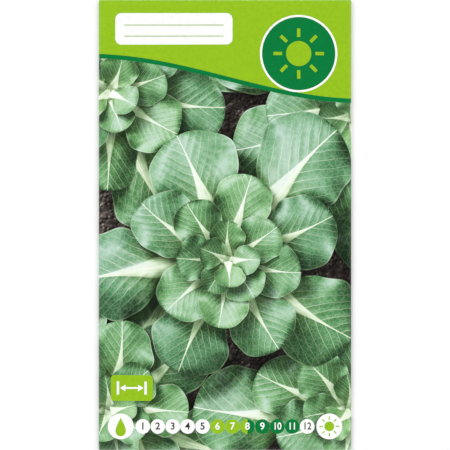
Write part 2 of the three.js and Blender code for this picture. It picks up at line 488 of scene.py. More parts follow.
def grid_triangles(rows, columns):
    """Two triangles for each cell of a grid whose points run along its rows."""
    corners = [r * columns + c for r in range(rows - 1) for c in range(columns - 1)]
    cells = (((a, a + 1, a + columns + 1), (a, a + columns + 1, a + columns)) for a in corners)
    return [triangle for cell in cells for triangle in cell]


def leaf_shape(plant, turn, youth, rng):
    """One leaf of a rosette. youth runs from 0 for the outermost leaf to 1 for the heart."""
    length = plant.reach * between(LEAF_LENGTH, youth**SHORTENING) * rng.uniform(*LENGTH_SPREAD)
    along = 1 - (1 - HEART_START * youth) * np.linspace(1, 0, LEAF_ROWS)[:, None] ** ROW_CROWDING
    side = np.linspace(-1, 1, LEAF_COLUMNS)
    side = np.copysign(np.abs(side) ** COLUMN_CROWDING, side)
    out = np.abs(side)
    # The leaf's middle line rises from the ground and bends over, low on the outside and steep in the heart
    pitch = np.radians(between(FOOT_PITCH, youth) * (1 - along) + between(TIP_PITCH, youth) * along)
    heading = turn + either_way(SWERVE_SPREAD, rng) * along**2
    stride = length * np.diff(along, axis=0, prepend=along[:1])
    u = plant.place[0] + np.cumsum(stride * np.cos(pitch) * np.cos(heading), axis=0)
    v = plant.place[1] + np.cumsum(stride * np.cos(pitch) * np.sin(heading), axis=0)
    z = plant.rise + between(FOOT_HEIGHT, youth) + np.cumsum(stride * np.sin(pitch), axis=0)
    half = blade_half_width(along, rng.uniform(*BLADE_SPREAD))
    left, right = (half * margin_wave(along, rng) for _ in range(2))
    across = np.where(side < 0, left, right) * side
    # Its blade tilts, curls, waves, sinks along the veins and swells along the rib
    blade = np.clip((along - STALK_SHARE) / BLADE_ONSET, 0, 1)
    rib = rib_half_width(along)
    height = across * math.sin(either_way(TILT_SPREAD, rng))
    height += (between(CURL, youth) + either_way(CURL_SPREAD, rng)) * out**2 * along
    for least, most, growth, pace, skew in BLADE_WAVES:
        depth = rng.uniform(least, most) * out**growth
        height += depth * np.sin(pace * along + skew * side + rng.uniform(0, 6)) * blade
    height -= VEIN_DEPTH * np.cos(math.tau * vein_phase(along, across)) * np.clip(4 * out, 0, 1) * blade
    height += BLADE_TROUGH * np.abs(across) * blade
    height += RIB_ROUND * rib * np.sqrt(np.clip(1 - (across / rib) ** 2, 0, 1))
    aside = length * across
    grown = np.stack([u - aside * np.sin(heading), v + aside * np.cos(heading), z + length * height], 2)
    normals = np.cross(np.gradient(grown, axis=0), np.gradient(grown, axis=1))
    normals /= np.maximum(np.linalg.norm(normals, axis=2, keepdims=True), 1e-9)
    normals *= np.where(normals[..., 2:] < 0, -1, 1)
    rim = [tuple(p) for p in (*grown[:, 0, :2], *grown[::-1, -1, :2])]
    warmth = between(WARMTH, youth) + either_way(WARMTH_SPREAD, rng)
    leaf = np.stack(np.broadcast_arrays(along, across, warmth, out), 2).reshape(-1, 4)
    triangles = grid_triangles(LEAF_ROWS, LEAF_COLUMNS)
    grown = [Vector(p) for p in grown.reshape(-1, 3)]
    tree = BVHTree.FromPolygons(grown, triangles)
    flat = [p.xy for p in grown]
    return Shape(LEAF, flat, triangles, closed_outline(rim), grown, normals.reshape(-1, 3), leaf, tree)


def growing_bed():
    """The leaves of every plant in the picture, the lowest first."""
    rng = random.Random(BED_DRAW)
    shapes = []
    for plant in PLANTS:
        for k in range(plant.leaves):
            youth = (k / (plant.leaves - 1)) ** AGEING
            turn = plant.heading + k * GOLDEN_TURN + either_way(PLACE_SPREAD, rng)
            shapes.append(leaf_shape(plant, turn, youth, rng))
    return shapes


def soil_height(u, v):
    """Height of the soil, with clods and smaller lumps, in millimetres."""
    place = Vector((u, v, 0))
    clods = noise.fractal(place * CLOD_PACE, 0.6, 2.2, 4)
    return CLOD_HEIGHT * clods + LUMP_HEIGHT * noise.noise(place * LUMP_PACE)


# The plain design printed over the picture, in millimetres on the sheet. A box is left, bottom, right, top.
BLEED = 3.0
PAST_SHEET = 140.0
WAVE_HEIGHT = 49.5
WAVE_DEPTH = 7.5
WAVE_LENGTH = 184.0
WAVE_POINTS = 48
STRIPE = 1.5
LABEL = (-36.5, 60.0, 2.5, 70.5)
LABEL_CORNER = 2.0
LABEL_RULES = (66.3, 62.6)
RULE_INSET = 3.0
RULE_WIDTH = 0.4
BADGE = (24.5, 57.0)
BADGE_RIM = 12.9
BADGE_RADIUS = 12.2
BADGE_SUN = 8.4
CALENDAR_HEIGHT = -67.0
CALENDAR_ENDS = ((-34.7, CALENDAR_HEIGHT), (34.7, CALENDAR_HEIGHT))
END_RADIUS = 4.3
END_DROP = 2.4
END_DROP_SINK = 0.2
END_SUN = 3.3
MONTH_STEP = 4.97
MONTH_RADIUS = 2.45
MONTH_SIZE = 3.3
SOWING = (6, 7, 8)
HARVEST = (8, 9, 10, 11)
TAG = (-38.0, -58.5, -24.0, -49.9)
TAG_CORNER = 1.2
TAG_MIDDLE = (-31.0, -54.2)
SHAFT_REACH = 3.4
SHAFT_WIDTH = 0.6
POST_REACH = 4.6
POST_HALF_WIDTH = 0.4
POST_HALF_HEIGHT = 2.2
TIP_REACH = 3.9
BARB_REACH = 2.1
BARB_HALF = 1.1
BACK_HALF = 33.0
BACK_BAND = (34.0, 46.0)
BAND_SUN = 4.4
BAND_SUN_PLACE = (7.0, 40.0)
BAND_DROP = 3.0
BAND_DROP_PLACE = (17.0, 39.4)
BACK_RULES = [22.0 - 9.0 * k for k in range(6)]
BACK_RULE_WIDTH = 0.3
BACK_CALENDAR = -44.0


def header(sheet):
    """The lime header, whose lower edge is a long wave, with its stripe, badge and a blank label."""
    left = -sheet.half_width - BLEED
    right = sheet.right.stop + BLEED
    top = [(right, PAST_SHEET), (left, PAST_SHEET)]
    across = np.linspace(left, right, WAVE_POINTS).tolist()
    wave = [(u, WAVE_HEIGHT - WAVE_DEPTH * math.sin(math.tau * u / WAVE_LENGTH)) for u in across]
    rule_left, rule_right = LABEL[0] + RULE_INSET, LABEL[2] - RULE_INSET
    return [
        inked(GREEN, [(u, v - STRIPE) for u, v in wave] + top),
        inked(LIME, wave + top),
        inked(WHITE, box_loop(*LABEL, LABEL_CORNER)),
        *(inked(RULE, box_loop(rule_left, v, rule_right, v + RULE_WIDTH)) for v in LABEL_RULES),
        inked(WHITE, disc_loop(BADGE, BADGE_RIM)),
        inked(GREEN, disc_loop(BADGE, BADGE_RADIUS)),
        *sun(LIME, BADGE, BADGE_SUN),
    ]


def month_dots(middle, height):
    """The year as twelve numbered dots: lime to sow, deep green to harvest, and half each where both are."""
    shapes = []
    for month in range(1, 13):
        place = (middle + (month - 6.5) * MONTH_STEP, height)
        dot = disc_loop(place, MONTH_RADIUS)
        right_half = [(max(u, place[0]), v) for u, v in dot]
        inks = [ink for ink, months in ((LIME, SOWING), (GREEN, HARVEST)) if month in months] or [WHITE]
        shapes += [inked(ink, loop) for ink, loop in zip(inks, (dot, right_half))]
        shapes.append(number(LETTER if inks == [WHITE] else WHITE, month, place, MONTH_SIZE))
    return shapes


def calendar():
    """The year along the bottom of the front, between two discs with a drop and a sun."""
    left, right = CALENDAR_ENDS
    discs = [inked(WHITE, disc_loop(end, END_RADIUS)) for end in CALENDAR_ENDS]
    drop = inked(LIME, drop_loop((left[0], left[1] - END_DROP_SINK), END_DROP))
    return [*discs, drop, *sun(LIME, right, END_SUN), *month_dots(0, CALENDAR_HEIGHT)]


def spacing_tag():
    """A lime tag with an arrow between two posts, for the distance between plants."""
    u, v = TAG_MIDDLE
    low, high = v - POST_HALF_HEIGHT, v + POST_HALF_HEIGHT
    shaft = bar_loop((u - SHAFT_REACH, v), (u + SHAFT_REACH, v), SHAFT_WIDTH)
    shapes = [inked(LIME, box_loop(*TAG, TAG_CORNER)), inked(WHITE, shaft)]
    for way in (-1, 1):
        post, tip, barb = (u + way * reach for reach in (POST_REACH, TIP_REACH, BARB_REACH))
        shapes.append(inked(WHITE, box_loop(post - POST_HALF_WIDTH, low, post + POST_HALF_WIDTH, high)))
        shapes.append(inked(WHITE, [(tip, v), (barb, v - BARB_HALF), (barb, v + BARB_HALF)]))
    return shapes


def back_print(sheet):
    """The plain back: white, with a lime band, ruled lines to write on and the year once more."""
    middle = -(sheet.left.stop + sheet.left.start)
    edge = -sheet.half_width - BLEED
    flap = sheet.right.stop + BLEED
    left, right = middle - BACK_HALF, middle + BACK_HALF
    return [
        inked(WHITE, box_loop(-PAST_SHEET, -PAST_SHEET, edge, PAST_SHEET)),
        inked(WHITE, box_loop(flap, -PAST_SHEET, PAST_SHEET, PAST_SHEET)),
        inked(WHITE, box_loop(edge, -PAST_SHEET, flap, -sheet.end.stop - BLEED)),
        inked(LIME, box_loop(left, BACK_BAND[0], right, BACK_BAND[1], LABEL_CORNER)),
        *sun(WHITE, (left + BAND_SUN_PLACE[0], BAND_SUN_PLACE[1]), BAND_SUN),
        inked(WHITE, drop_loop((left + BAND_DROP_PLACE[0], BAND_DROP_PLACE[1]), BAND_DROP)),
        *(inked(RULE, box_loop(left, v, right, v + BACK_RULE_WIDTH)) for v in BACK_RULES),
        *month_dots(middle, BACK_CALENDAR),
    ]


# The press lights the grown picture and cuts the sheet along every visible edge, in millimetres
LATTICE = 0.62
LATTICE_ROW = LATTICE * math.sqrt(0.75)
CLEAR = 0.3
PLAIN_STEP = 3
CREASE_STEP = 1.5
MERGE = 0.0001
BESIDE = 0.04
LIFT = 0.25
PAST_LEAF = 0.05
GLOSS = 30
SOIL_REACH = 0.4
SKY_COUNT = 32
SKY_SHARE = 0.55
SUN_COUNT = 12
SUN_SPREAD = 0.3
KEY = Vector((-0.55, 0.60, 0.75)).normalized()
GLANCE = (KEY + Vector((0, 0, 1))).normalized()
PLAIN_LOOK = ((0, 0, 0), (1, 0, 0))


def sky_lights():
    """Directions over the sky and over a hazy sun, each with its share of the light on open level ground."""
    lights = []
    for k in range(SKY_COUNT):
        z = 1 - (k + 0.5) / SKY_COUNT
        out = math.sqrt(1 - z * z)
        way = Vector((out * math.cos(k * GOLDEN_TURN), out * math.sin(k * GOLDEN_TURN), z))
        lights.append((way, SKY_SHARE / (0.5 * SKY_COUNT)))
    beside = KEY.orthogonal().normalized()
    for k in range(SUN_COUNT):
        offset = beside * SUN_SPREAD * math.sqrt((k + 0.5) / SUN_COUNT)
        way = KEY + Quaternion(KEY, k * GOLDEN_TURN) @ offset
        lights.append((way.normalized(), (1 - SKY_SHARE) / (KEY.z * SUN_COUNT)))
    return lights


def one_tree(surfaces):
    """A search tree over several levels' points and triangles, and the level of each of its triangles."""
    places, triangles, levels = [], [], []
    for level, points, faces in surfaces:
        first = len(places)
        places += points
        triangles += [tuple(first + i for i in face) for face in faces]
        levels += [level] * len(faces)
    return BVHTree.FromPolygons(places, triangles), levels


class Press:
    """Finds what each place of the sheet shows, and how light it is."""

    def __init__(self, shapes):
        self.shapes = shapes
        levels = list(enumerate(shapes))
        flat = [(level, [(u, v, level) for u, v in s.places], s.triangles) for level, s in levels]
        grown = [(level, s.grown, s.triangles) for level, s in levels if s.grown]
        self.stack, self.stack_level = one_tree(flat)
        self.bed, self.bed_level = one_tree(grown)
        self.sky = sky_lights()
        self.known = {}
        self.looks = []

    def top(self, u, v):
        """The level of the shape that shows at a place."""
        index = self.stack.ray_cast(Vector((u, v, FAR)), DOWN)[2]
        return -1 if index is None else self.stack_level[index]

    def visible(self, level):
        """The stretches of a shape's outline that show."""
        kept = []
        for start, stop in self.shapes[level].outline:
            along = Vector((stop[0] - start[0], stop[1] - start[1]))
            if along.length < 1e-6:
                continue
            side = Vector((-along.y, along.x)).normalized() * BESIDE
            middle = Vector(((start[0] + stop[0]) / 2, (start[1] + stop[1]) / 2))
            if level in (self.top(*(middle + side)), self.top(*(middle - side))):
                kept.append((start, stop))
        return kept

    def shaded(self, place, way, level):
        """Whether a leaf that lies over this level stands between a place and the sky."""
        while True:
            hit, _, index, _ = self.bed.ray_cast(place, way)
            if hit is None:
                return False
            if self.bed_level[index] > level:
                return True
            place = hit + PAST_LEAF * way

    def light(self, place, normal, level):
        """The sky's light on a place of the picture, 1 on open level ground."""
        lifted = place + LIFT * normal
        total = 0.0
        for way, weight in self.sky:
            facing = normal.dot(way)
            if facing > 0 and not self.shaded(lifted, way, level):
                total += weight * facing
        return total

    def mark(self, corner, place, level):
        """The number of the look that a shape has at a corner: its place on the leaf, its light and gloss."""
        key = (corner, level)
        if key not in self.known:
            looks = {LEAF: self.leaf_look, SOIL: self.soil_look}
            look = looks.get(self.shapes[level].ink, lambda *_: PLAIN_LOOK)
            self.known[key] = len(self.looks)
            self.looks.append(look(level, *place))
        return self.known[key]

    def leaf_look(self, level, u, v):
        """The place on the leaf, its light and gloss, and how near its margin it is."""
        shape = self.shapes[level]
        hit, _, index, _ = shape.tree.ray_cast(Vector((u, v, FAR)), DOWN)
        if hit is None:
            middle = shape.grown[len(shape.grown) // 2].z
            hit, _, index, _ = shape.tree.find_nearest(Vector((u, v, middle)))
        corners = list(shape.triangles[index])
        weights = poly_3d_calc([shape.grown[c] for c in corners], hit)
        *leaf, margin = weights @ shape.leaf[corners]
        normal = Vector(weights @ shape.normals[corners]).normalized()
        gloss = max(0, normal.dot(GLANCE)) ** GLOSS
        return leaf, (self.light(hit, normal, level), gloss, margin)

    def soil_look(self, level, u, v):
        """The light on the soil."""
        reach = SOIL_REACH
        slope_u = (soil_height(u + reach, v) - soil_height(u - reach, v)) / (2 * reach)
        slope_v = (soil_height(u, v + reach) - soil_height(u, v - reach)) / (2 * reach)
        normal = Vector((-slope_u, -slope_v, 1)).normalized()
        return (0, 0, 0), (self.light(Vector((u, v, soil_height(u, v))), normal, level), 0, 0)


def split_line(start, stop, step):
    """Points along a line, its ends included."""
    count = max(1, round(math.dist(start, stop) / step))
    way_u, way_v = stop[0] - start[0], stop[1] - start[1]
    return [(start[0] + way_u * k / count, start[1] + way_v * k / count) for k in range(count + 1)]


def cut_lines(press, sheet):
    """Every line that the sheet is cut along into triangles."""
    lines = [line for level in range(1, len(press.shapes)) for line in press.visible(level)]
    for start, stop in sheet.creases() + closed_outline(sheet.outline()):
        points = split_line(start, stop, CREASE_STEP)
        lines += zip(points, points[1:])
    return lines


def lattice_places(press, sheet, lines):
    """An even lattice over the front panel, sparse under plain ink, that keeps clear of the cut lines."""
    marks = [place for start, stop in lines for place in split_line(start, stop, CLEAR)]
    near = KDTree(len(marks))
    for k, place in enumerate(marks):
        near.insert((*place, 0), k)
    near.balance()
    places = []
    for r in range(int(2 * sheet.end.start / LATTICE_ROW)):
        for c in range(int(2 * sheet.half_width / LATTICE)):
            u = -sheet.half_width + (c + 0.5 * (r % 2)) * LATTICE
            v = -sheet.end.start + (r + 0.5) * LATTICE_ROW
            if not -sheet.left.start < u < sheet.right.start or near.find((u, v, 0))[2] < CLEAR:
                continue
            sparse = r % PLAIN_STEP == 0 and c % PLAIN_STEP == 0
            if sparse or press.shapes[press.top(u, v)].ink in (LEAF, SOIL):
                places.append((u, v))
    return places


def softened(light, marks):
    """Light evened out with that of its neighbours on the same shape, as a lens does."""
    total = np.zeros_like(light)
    count = np.zeros_like(light)
    for one, other in permutations(range(3), 2):
        np.add.at(total, marks[:, one], light[marks[:, other]])
        np.add.at(count, marks[:, one], 1)
    return (light + total / count) / 2


def press_sheet(sheet):
    """The flat printed sheet: its places, triangles, each triangle's ink and what its corners hold."""
    outline = sheet.outline()
    low, high = np.min(outline, 0) - BLEED, np.max(outline, 0) + BLEED
    soil = inked(SOIL, box_loop(*low, *high))
    design = [*back_print(sheet), *header(sheet), *calendar(), *spacing_tag()]
    press = Press([soil, *growing_bed(), *design])
    lines = cut_lines(press, sheet)
    places = [place for line in lines for place in line]
    edges = [(2 * k, 2 * k + 1) for k in range(len(lines))]
    places += lattice_places(press, sheet, lines)
    points, _, faces, *_ = delaunay_2d_cdt([Vector(p) for p in places], edges, [], 0, MERGE, False)
    within = inked(WHITE, outline)
    inside = BVHTree.FromPolygons([(*p, 0) for p in within.places], within.triangles)
    triangles, inks, marks = [], [], []
    for face in faces:
        middle = sum((points[corner] for corner in face), Vector((0, 0))) / 3
        if inside.ray_cast(Vector((*middle, 1)), DOWN)[0] is None:
            continue
        level = press.top(*middle)
        triangles.append(face)
        inks.append(press.shapes[level].ink)
        marks.append([press.mark(corner, points[corner], level) for corner in face])
    marks = np.array(marks)
    looks = np.array(press.looks)
    looks[:, 1, 0] = softened(looks[:, 1, 0], marks)
    leaves, glows = looks[marks.ravel()].swapaxes(0, 1)
    used, corners = np.unique(triangles, return_inverse=True)
    return np.array(points)[used], corners.reshape(-1, 3), inks, leaves, glows


class Value:
    """What a node gives, to reckon with like a number."""

    def __init__(self, nodes, socket):
        self.nodes = nodes
        self.socket = socket

    def __add__(self, other):
        return self.nodes.math("ADD", self, other)

    def __sub__(self, other):
        return self.nodes.math("SUBTRACT", self, other)

    def __rsub__(self, other):
        return self.nodes.math("SUBTRACT", other, self)

    def __mul__(self, other):
        return self.nodes.math("MULTIPLY", self, other)


class Nodes:
    """Short calls for the nodes of a material or a world. They take numbers, colours and values."""

    def __init__(self, owner, shader="Principled BSDF"):
        owner.use_nodes = True
        self.owner = owner
        self.tree = owner.node_tree
        self.shader = self.tree.nodes[shader]

    def node(self, kind, inputs, output=0, **settings):
        """Adds a node and gives one of its outputs."""
        node = self.tree.nodes.new("ShaderNode" + kind)
        for key, setting in settings.items():
            setattr(node, key, setting)
        for key, value in inputs.items():
            self.feed(node.inputs[key], value)
        return Value(self, node.outputs[output])

    def feed(self, socket, value):
        """Links a value to a socket, or sets the socket to a number or colour."""
        if isinstance(value, Value):
            self.tree.links.new(value.socket, socket)
        else:
            socket.default_value = (*value, 1) if socket.type == "RGBA" else value

    def set(self, **values):
        """Feeds the shader's own sockets."""
        for key, value in values.items():
            self.feed(self.shader.inputs[key.replace("_", " ")], value)

    def math(self, operation, *values):
        """Reckons with numbers."""
        return self.node("Math", dict(enumerate(values)), operation=operation)

    def step(self, value, low, high):
        """Rises smoothly from 0 at low to 1 at high."""
        inputs = {"Value": value, "From Min": low, "From Max": high}
        return self.node("MapRange", inputs, interpolation_type="SMOOTHSTEP")

    def spread(self, value, low, high):
        """Goes from low to high as the value goes from 0 to 1."""
        return self.node("MapRange", {"Value": value, "To Min": low, "To Max": high})

    def mix(self, share, first, second, blend="MIX"):
        """Goes from the first colour to the second as the share goes from 0 to 1."""
        return self.node("Mix", {0: share, 6: first, 7: second}, 2, data_type="RGBA", blend_type=blend)

    def mottled(self, share, colour, factor):
        """A colour that goes to a factor of itself as the share goes from 0 to 1."""
        return self.mix(share, colour, [factor * c for c in colour])

    def ramp(self, share, stops):
        """Goes through colours, each stop being a place and a colour."""
        value = self.node("ValToRGB", {0: share})
        elements = value.socket.node.color_ramp.elements
        while len(elements) < len(stops):
            elements.new(0.5)
        for element, (place, colour) in zip(elements, stops):
            element.position = place
            element.color = (*colour, 1)
        return value

    def place(self, kind="Object"):
        """Where a point of the surface or the sky is."""
        return self.node("TexCoord", {}, kind)

    def attribute(self, name, output="Vector"):
        """What the mesh holds under a name."""
        return self.node("Attribute", {}, output, attribute_name=name)

    def parts(self, vector):
        """The three parts of a vector."""
        first = self.node("SeparateXYZ", {0: vector})
        return [Value(self, socket) for socket in first.socket.node.outputs]

    def noise(self, place, scale, detail):
        """Clouds, finer at a greater scale."""
        return self.node("TexNoise", {"Vector": place, "Scale": scale, "Detail": detail})

    def cells(self, place, scale, feature="DISTANCE_TO_EDGE"):
        """Cells, smaller at a greater scale."""
        return self.node("TexVoronoi", {"Vector": place, "Scale": scale}, "Distance", feature=feature)

    def bump(self, height, distance, strength):
        """Raises the surface by a height, distance being in metres."""
        inputs = {"Height": height, "Distance": distance, "Strength": strength}
        self.set(Normal=self.node("Bump", inputs))


def finish(name):
    """The nodes of a new material."""
    return Nodes(bpy.data.materials.new(name))


def coated_print(nodes, colour, colours):
    """Ink on coated paper: satin, with a fine tooth, and rubbed thin along the folds."""
    place = nodes.place()
    tooth = nodes.noise(place, 2600, 2)
    rub = nodes.attribute("wear", "Fac") * nodes.step(tooth, 0.42, 0.62) * 0.15
    roughness = nodes.spread(nodes.noise(place, 320, 4), 0.36, 0.48)
    nodes.set(Base_Color=nodes.mix(rub, colour, colours.white), Roughness=roughness, Specular_IOR_Level=0.1)
    nodes.bump(tooth, 0.000012, 0.6)
    return nodes.owner


def plain_ink(name, colour, colours):
    """A solid ink whose density varies a little, as a press lays it."""
    nodes = finish(name)
    density = nodes.step(nodes.noise(nodes.place(), 700, 4), 0.35, 0.7)
    return coated_print(nodes, nodes.mottled(density, colour, 0.93), colours)


def shades(*stops):
    """The stops of a ramp, each given as its place and its screen colour."""
    return [(place, screen(*levels)) for place, *levels in stops]


# Colours of the printed leaves and soil from full shade to full light
COOL_BLADE = shades(
    (0.0, 12, 24, 16), (0.24, 30, 58, 38), (0.43, 56, 104, 68), (0.56, 84, 142, 98),
    (0.68, 122, 174, 136), (0.82, 168, 208, 180), (1.0, 208, 232, 214),
)
WARM_BLADE = shades(
    (0.0, 14, 26, 10), (0.24, 32, 62, 24), (0.43, 62, 112, 48), (0.56, 92, 152, 74),
    (0.68, 128, 184, 104), (0.82, 172, 214, 150), (1.0, 208, 234, 190),
)
FRESH_BLADE = shades((0.0, 22, 34, 12), (0.34, 84, 122, 48), (0.80, 166, 204, 120))
STALK = shades((0.0, 48, 66, 40), (0.24, 144, 172, 126), (0.47, 218, 234, 204), (0.70, 250, 253, 246))
BLOOM = screen(206, 226, 220)
EARTH = shades((0.05, 24, 20, 18), (0.45, 82, 73, 67), (0.75, 128, 117, 108), (1.0, 190, 180, 166))
# Crumbs of soil: how many to a metre, and how deep their shade is
CRUMBS = ((190, 1.6), (430, 1.9), (950, 1.7))
CRUMB_SHIFT = (-0.00022, 0.00024, 0)
FIBRE_STRETCH = (0.25, 6.0, 3.0)


def leaf_ink(colours):
    """The printed leaves: lit blade, pale ribs and veins, and a waxy bloom."""
    nodes = finish("leaf_print")
    place = nodes.attribute("leaf")
    along, across, warmth = nodes.parts(place)
    light, gloss, margin = nodes.parts(nodes.attribute("glow"))
    off = nodes.math("ABSOLUTE", across)
    rib_half = (1 - along) * (1 - nodes.step(along, *RIB_FADE)) * RIB_FOOT + RIB_TIP
    rib = 1 - nodes.step(off, rib_half * 0.7, rib_half)
    ahead = along - STALK_SHARE - (off * VEIN_SLANT + across * across * VEIN_BEND)
    other_side = nodes.math("GREATER_THAN", across, 0)
    phase = ahead * (VEIN_PAIRS / (1 - STALK_SHARE)) + other_side * 0.5 + nodes.noise(place, 6, 2) * 0.9
    vein_half = nodes.math("MAXIMUM", 0.03, 0.085 - off * 0.24)
    vein = 1 - nodes.step(nodes.math("PINGPONG", phase, 0.5), 0.0, vein_half)
    vigour = nodes.spread(nodes.noise(place, 5, 1), 0.1, 1.0)
    net = 1 - nodes.step(nodes.cells(place, 36), 0.0, 0.14)
    edge = nodes.step(margin, 0.955, 0.99)
    pale = nodes.math("MAXIMUM", nodes.math("MAXIMUM", vein * vigour, net * 0.15), edge * 0.4)
    mottle = nodes.noise(place, 16, 4) - 0.5
    tone = light * 0.70 + mottle * 0.2 + (warmth - 0.4) * 0.12
    blade = nodes.mix(warmth, nodes.ramp(tone, COOL_BLADE), nodes.ramp(tone, WARM_BLADE))
    fresh = 1 - nodes.step(along + off, 0.35, 0.90)
    blade = nodes.mix(fresh * 0.5, blade, nodes.ramp(tone, FRESH_BLADE))
    fibres = nodes.node("VectorMath", {0: place, 1: FIBRE_STRETCH}, operation="MULTIPLY")
    streak = nodes.step(nodes.noise(fibres, 22, 3), 0.3, 0.75)
    stalk = nodes.ramp(tone - streak * 0.12, STALK)
    body = nodes.mix(rib, nodes.mix(pale, blade, stalk), stalk)
    bloom = gloss * (light * light * 0.5)
    return coated_print(nodes, nodes.mix(bloom, body, BLOOM), colours)


def soil_ink(colours):
    """The printed soil: crumbs and clods in grey browns, each lit on its sunward side."""
    nodes = finish("soil_print")
    place = nodes.place()
    sunward = nodes.node("VectorMath", {0: place, 1: CRUMB_SHIFT}, operation="ADD")
    tone = nodes.noise(place, 150, 4)
    for scale, depth in CRUMBS:
        slope = nodes.cells(sunward, scale, "F1") - nodes.cells(place, scale, "F1")
        tone = tone + slope * depth * nodes.step(nodes.noise(place, 0.35 * scale, 2), 0.35, 0.65)
    grain = nodes.noise(place, 1100, 5) - 0.5
    light = nodes.math("MINIMUM", nodes.parts(nodes.attribute("glow"))[0], 1.1)
    earth = nodes.ramp(tone + grain * 1.1, EARTH)
    return coated_print(nodes, nodes.mix(1.0, earth, light, "MULTIPLY"), colours)


def bare_stock(colours):
    """The uncoated inside of the paper, with a soft fibre pattern."""
    nodes = finish("paper_inside")
    fibres = nodes.noise(nodes.place(), 1500, 5)
    nodes.set(Base_Color=nodes.mottled(nodes.step(fibres, 0.35, 0.7), colours.stock, 0.9), Roughness=0.85)
    nodes.bump(fibres, 0.00003, 0.7)
    return nodes.owner


def deselect_all():
    """Leaves edit mode, with nothing selected."""
    if bpy.context.object and bpy.context.object.mode != "OBJECT":
        bpy.ops.object.mode_set(mode="OBJECT")
    bpy.ops.object.select_all(action="DESELECT")


def make_active(piece):
    """Selects one piece alone."""
    deselect_all()
    piece.select_set(True)
    bpy.context.view_layer.objects.active = piece


def hand_over(piece, slot, node, *materials):
    """A finished piece takes its materials, rides on the packet and stands for its node."""
    for material in materials:
        piece.data.materials.append(material)
    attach(piece, "root")
    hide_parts(node)


# Where the inside of the paper lies in the sheet's map, and how small
INSIDE_PLACE = (0.01, 0.92)
INSIDE_SHARE = 0.07


def sheet_mesh(sheet, paper):
    """The folded sheet: its printed face, the bare inside behind it, and the cut edge between."""
    flat, triangles, inks, leaves, glows = press_sheet(sheet)
    printed = triangles.size
    count = len(flat)
    sides = triangles[:, [0, 1, 1, 2, 2, 0]].reshape(-1, 2).tolist()
    known = {tuple(side) for side in sides}
    rim = [(b, a, a + count, b + count) for a, b in sides if (b, a) not in known]
    faces = triangles.tolist() + (triangles[:, ::-1] + count).tolist() + rim
    front = sheet.folded(flat)
    inside = front - paper * sheet.facing(flat)
    mesh = bpy.data.meshes.new("printed_envelope")
    mesh.from_pydata(np.concatenate([front, inside]) * MM, [], faces)
    mesh.polygons.foreach_set("material_index", inks + [BARE] * (len(faces) - len(inks)))
    corners = np.array([corner % count for face in faces for corner in face])
    for name, values in (("leaf", leaves), ("glow", glows)):
        everywhere = np.zeros((len(corners), 3), np.float32)
        everywhere[:printed] = values
        mesh.attributes.new(name, "FLOAT_VECTOR", "CORNER").data.foreach_set("vector", everywhere.ravel())
    wear = np.tile(sheet.wear(flat), 2).astype(np.float32)
    mesh.attributes.new("wear", "FLOAT", "POINT").data.foreach_set("value", wear)
    # The map is the flat sheet, with its plain inside in a small copy beside it
    low = flat.min(0)
    places = (flat[corners] - low) / (flat.max(0) - low).max()
    places[printed:] = places[printed:] * INSIDE_SHARE + INSIDE_PLACE
    mesh.uv_layers.new(name="OFBake").data.foreach_set("uv", places.astype(np.float32).ravel())
    return mesh


def strip_under(node, name, cell, margin=0.0):
    """A grid over the underside of a node's box, kept a margin inside it, ready to be shaped."""
    low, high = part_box(node)
    size = high - low
    deselect_all()
    bpy.ops.mesh.primitive_grid_add(
        x_subdivisions=round(size.x / cell), y_subdivisions=round(size.y / cell), size=1
    )
    piece = bpy.context.object
    piece.name = name
    piece.data.name = name
    bpy.ops.transform.resize(value=(size.x - 2 * margin, size.y - 2 * margin, 1))
    bpy.ops.transform.translate(value=((low.x + high.x) / 2, (low.y + high.y) / 2, low.z))
    bpy.ops.object.transform_apply(location=True, rotation=True, scale=True)
    return piece


SMOOTH_ANGLE = math.radians(50)


def thicken(piece, thickness):
    """Gives a flat piece its thickness, upwards from where it lies."""
    make_active(piece)
    wall = piece.modifiers.new("Thickness", "SOLIDIFY")
    wall.thickness = thickness
    wall.offset = 1
    bpy.ops.object.modifier_apply(modifier=wall.name)
    bpy.ops.object.shade_smooth_by_angle(angle=SMOOTH_ANGLE)


# Dried glue, in metres
GLUE_CELL = 0.0008
GLUE_WANDER = 0.0006
GLUE_LINES = ("seam_glue", "bottom_lip_glue", "top_lip_glue")


def glue_line(node, draw):
    """A squeezed line of glue with a wandering edge, as thick as its node."""
    low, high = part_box(node)
    line = strip_under(node, node.replace("_glue", "_glue_line"), GLUE_CELL, GLUE_WANDER)
    bpy.ops.object.mode_set(mode="EDIT")
    bpy.ops.mesh.select_all(action="SELECT")
    bpy.ops.mesh.region_to_loop()
    bpy.ops.transform.vertex_random(offset=GLUE_WANDER, seed=draw)
    bpy.ops.mesh.vertices_smooth(factor=0.5, repeat=3)
    bpy.ops.object.mode_set(mode="OBJECT")
    # The random moves also raise and lower the edge, so the line is laid flat again
    for vertex in line.data.vertices:
        vertex.co.z = low.z
    thicken(line, high.z - low.z)
    return line


def dried_glue(colours):
    """Dried glue: a cream skin, cloudy where it is thin, with fine pits."""
    nodes = finish("dried_glue")
    place = nodes.place()
    cloud = nodes.noise(place, 260, 4)
    thin = nodes.mottled(nodes.step(cloud, 0.35, 0.7), colours.glue, 0.82)
    nodes.set(Base_Color=thin, Roughness=nodes.spread(cloud, 0.35, 0.55))
    nodes.bump(nodes.cells(place, 1600, "F1"), 0.00002, 0.6)
    return nodes.owner


class PACKET_OT_glue_lines(bpy.types.Operator):
    """Lays the dried glue between the layers of the back"""

    bl_idname = "packet.glue_lines"
    bl_label = "Glue Lines"

    def execute(self, context):
        glue = dried_glue(context.scene.packet_colours)
        for draw, node in enumerate(GLUE_LINES):
            hand_over(glue_line(node, draw), "dried_glue", node, glue)
        return {"FINISHED"}


